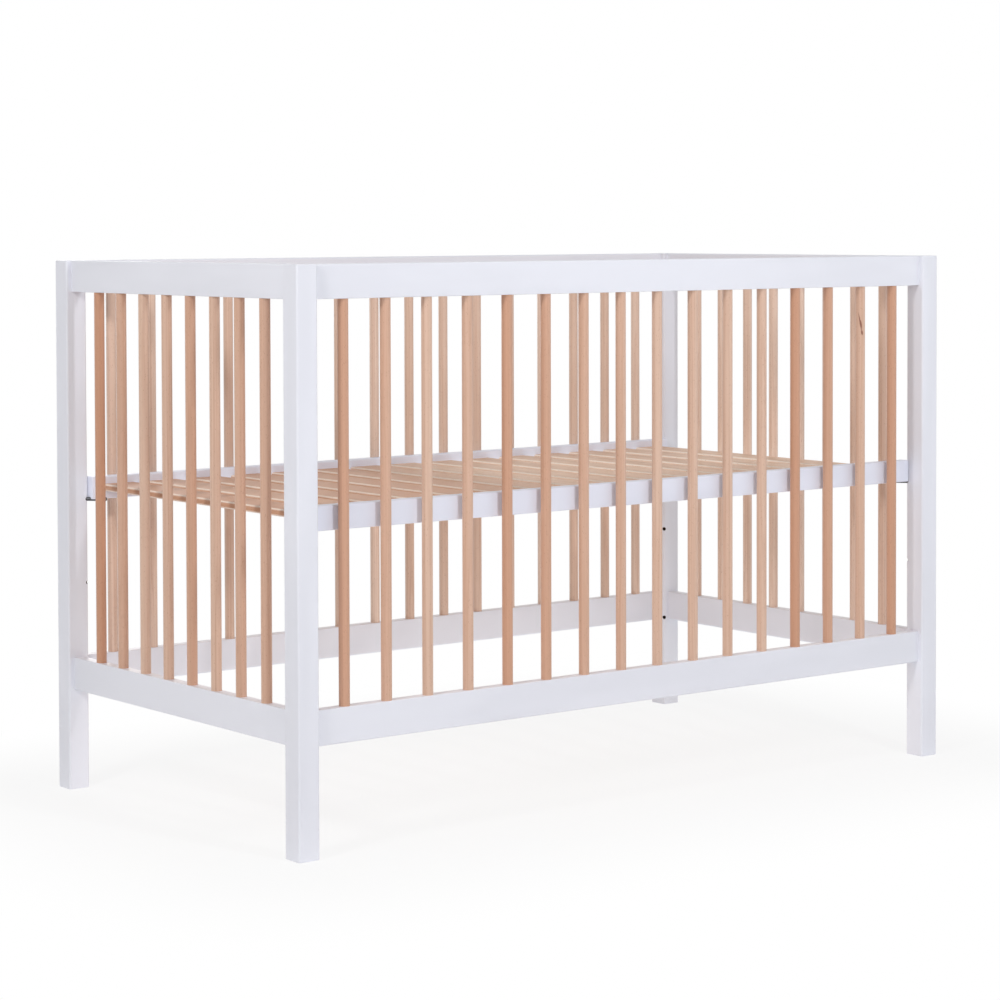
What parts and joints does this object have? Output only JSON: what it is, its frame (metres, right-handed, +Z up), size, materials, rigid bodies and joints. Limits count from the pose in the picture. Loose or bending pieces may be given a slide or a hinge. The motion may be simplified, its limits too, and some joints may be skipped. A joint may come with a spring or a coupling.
{
  "type": "baby crib",
  "caption": "Open wooden baby crib: white square posts and rails, round beech bars on all sides and a slatted base that rests on pins and lifts out.",
  "frame": {"origin": "on the floor, under the middle of the crib", "axes": "+X along the crib's length towards its right end, +Y across it towards the rear side, +Z up"},
  "size_m": [1.26, 0.66, 0.815],
  "materials": {
    "white_lacquer": "semi-gloss white lacquer over solid wood",
    "clear_beech": "clear satin varnish over natural beech",
    "dark_steel": "dark zinc-plated steel"
  },
  "bodies": {
    "crib_frame": {"post_front_left": "white_lacquer", "post_front_right": "white_lacquer", "post_rear_left": "white_lacquer", "post_rear_right": "white_lacquer", "top_rail_front": "white_lacquer", "top_rail_rear": "white_lacquer", "top_rail_left": "white_lacquer", "top_rail_right": "white_lacquer", "bottom_rail_front": "white_lacquer", "bottom_rail_rear": "white_lacquer", "bottom_rail_left": "white_lacquer", "bottom_rail_right": "white_lacquer", "bars_front": "clear_beech", "bars_rear": "clear_beech", "bars_left": "clear_beech", "bars_right": "clear_beech", "support_pin_front_left": "dark_steel", "support_pin_front_right": "dark_steel", "support_pin_rear_left": "dark_steel", "support_pin_rear_right": "dark_steel"},
    "slatted_base": {"base_rail_front": "white_lacquer", "base_rail_rear": "white_lacquer", "slat_01": "clear_beech", "slat_02": "clear_beech", "slat_03": "clear_beech", "slat_04": "clear_beech", "slat_05": "clear_beech", "slat_06": "clear_beech", "slat_07": "clear_beech", "slat_08": "clear_beech", "slat_09": "clear_beech", "slat_10": "clear_beech", "slat_11": "clear_beech", "slat_12": "clear_beech", "slat_13": "clear_beech", "slat_14": "clear_beech", "slat_15": "clear_beech"}
  },
  "joints": [
    {"name": "base_lift", "type": "slide", "parent": "crib_frame", "child": "slatted_base", "axis": [0, 0, 1], "range_m": [0, 0.4]}
  ]
}
